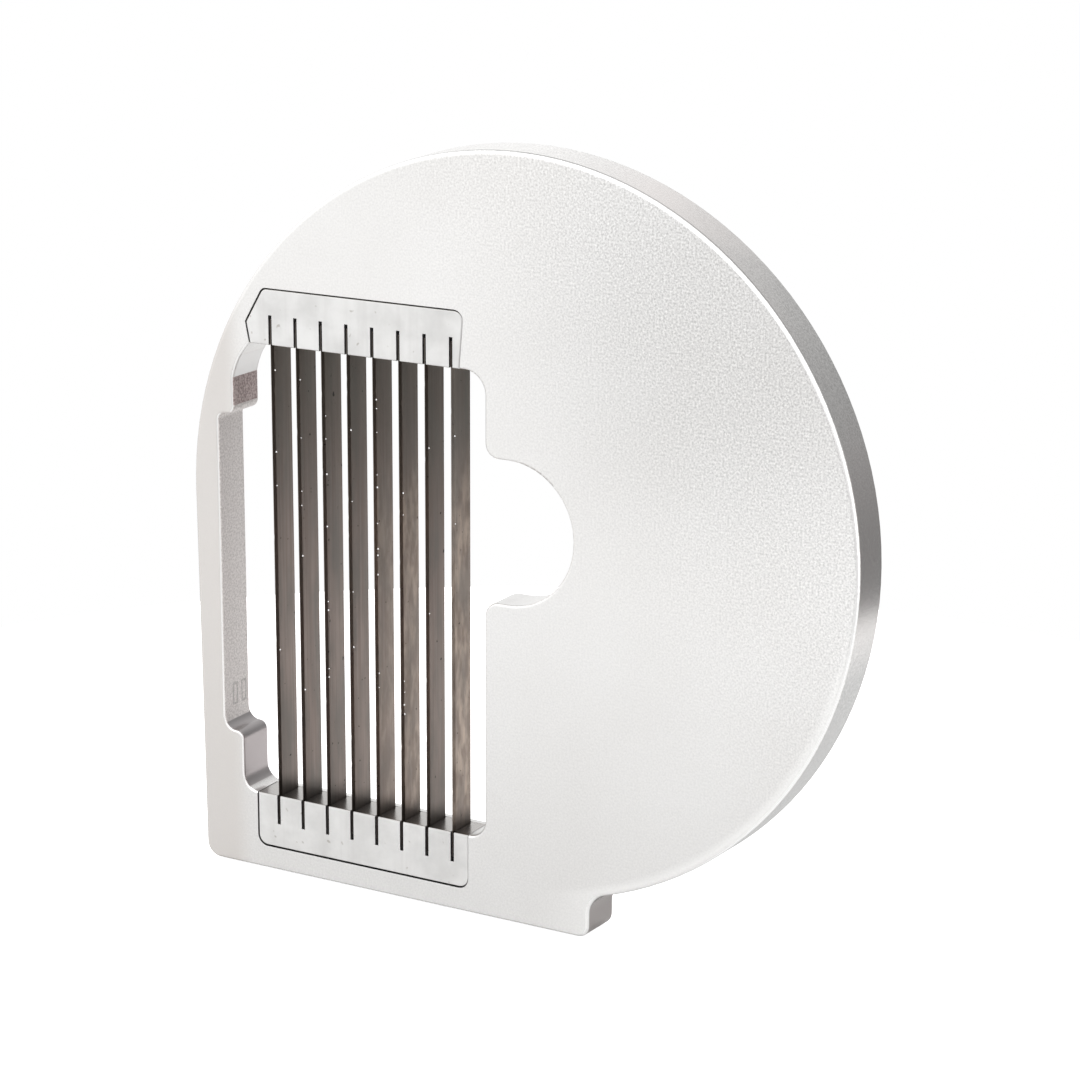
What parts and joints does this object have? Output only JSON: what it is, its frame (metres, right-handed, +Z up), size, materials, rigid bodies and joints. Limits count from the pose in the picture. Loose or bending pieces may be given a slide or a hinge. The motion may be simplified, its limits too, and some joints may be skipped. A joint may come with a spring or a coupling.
{
  "type": "vegetable dicer grid plate",
  "caption": "D-shaped cast aluminium cutting grid plate with a hub notch and a food window crossed by parallel steel blades held in two slotted holders.",
  "frame": {"origin": "hub notch axis on the front (cutting) face", "axes": "+X right and +Z up seen from the front, +Y from the front face to the back seating face"},
  "size_m": [0.2058, 0.013, 0.2148],
  "materials": {
    "cast_aluminium": "shot-blasted satin",
    "holder_aluminium": "fine machined satin",
    "blade_steel": "dark rolled strip, lengthwise grain",
    "stainless_steel": "turned stainless"
  },
  "bodies": {
    "plate": {"plate_body": "cast_aluminium", "upper_blade_holder": "holder_aluminium", "upper_blade_pin": "stainless_steel", "blade_1": "blade_steel", "blade_2": "blade_steel", "blade_3": "blade_steel", "blade_4": "blade_steel", "blade_5": "blade_steel", "blade_6": "blade_steel", "blade_7": "blade_steel", "blade_8": "blade_steel", "upper_holder_screw_left": "stainless_steel", "upper_holder_screw_right": "stainless_steel", "tension_washer_left": "stainless_steel", "tension_washer_right": "stainless_steel"},
    "lower_holder": {"lower_blade_holder": "holder_aluminium", "lower_blade_pin": "stainless_steel"},
    "tension_screw_left": {"tension_screw_left": "stainless_steel"},
    "tension_screw_right": {"tension_screw_right": "stainless_steel"}
  },
  "joints": [
    {"name": "lower_holder_slide", "type": "slide", "parent": "plate", "child": "lower_holder", "axis": [0, 0, 1], "range_m": [0, 0.00105]},
    {"name": "tension_screw_left_turn", "type": "hinge", "parent": "plate", "child": "tension_screw_left", "pos_m": [-0.07145, 0.005, -0.1113], "axis": [0, 0, -1], "range_deg": [0, 540]},
    {"name": "tension_screw_right_turn", "type": "hinge", "parent": "plate", "child": "tension_screw_right", "pos_m": [-0.02165, 0.005, -0.1113], "axis": [0, 0, -1], "range_deg": [0, 540]}
  ],
  "couplings": [
    {"joint": "tension_screw_left_turn", "follows": "lower_holder_slide", "rad_per_m": 8976},
    {"joint": "tension_screw_right_turn", "follows": "lower_holder_slide", "rad_per_m": 8976}
  ]
}
